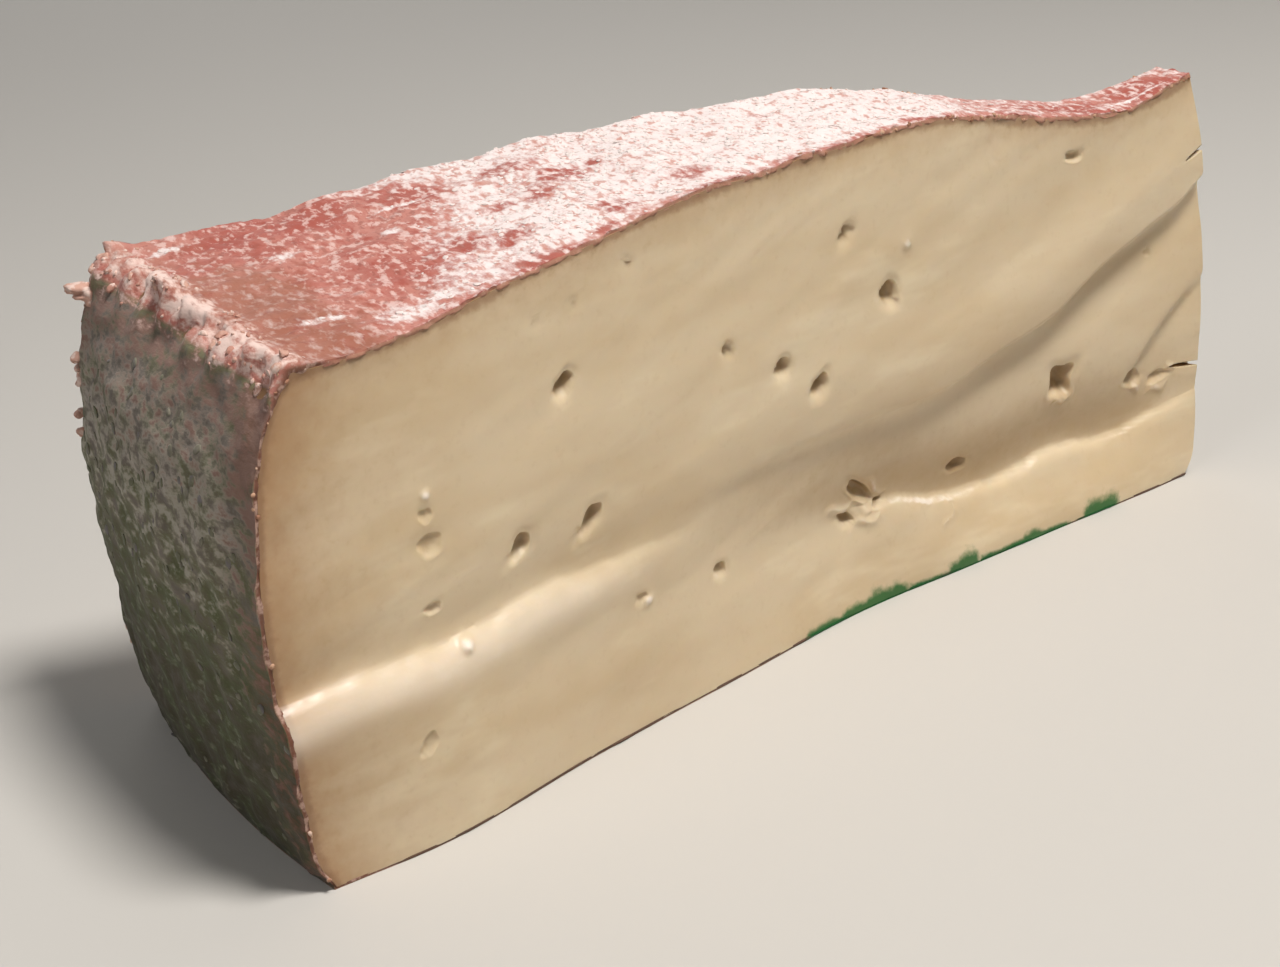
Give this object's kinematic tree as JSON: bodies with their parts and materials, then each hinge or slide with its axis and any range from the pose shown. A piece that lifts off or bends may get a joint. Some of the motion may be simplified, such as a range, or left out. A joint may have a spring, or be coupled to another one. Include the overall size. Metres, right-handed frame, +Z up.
{
  "type": "fontina cheese wedge",
  "caption": "Wedge of washed-rind semi-soft cheese, standing on its flat side, with folded cut faces, small eyes and a mould-dusted rind.",
  "frame": {"origin": "on the surface it stands on, under the middle of the wedge's box", "axes": "+X from the rind heel to the blunt tip, -Y out of the cut face with the deep folds, +Z up out of the wheel's upper rind"},
  "size_m": [0.1958, 0.0732, 0.0812],
  "materials": {
    "cheese_paste": "soft satin, pale straw paste, browner by the rind",
    "washed_rind": "matte, pink-brown washed rind with grey-green mould on the heel",
    "mould_bloom": "powdery off-white bloom and crumbs"
  },
  "bodies": {
    "root": {"fontina_wedge": "cheese_paste"}
  },
  "joints": []
}
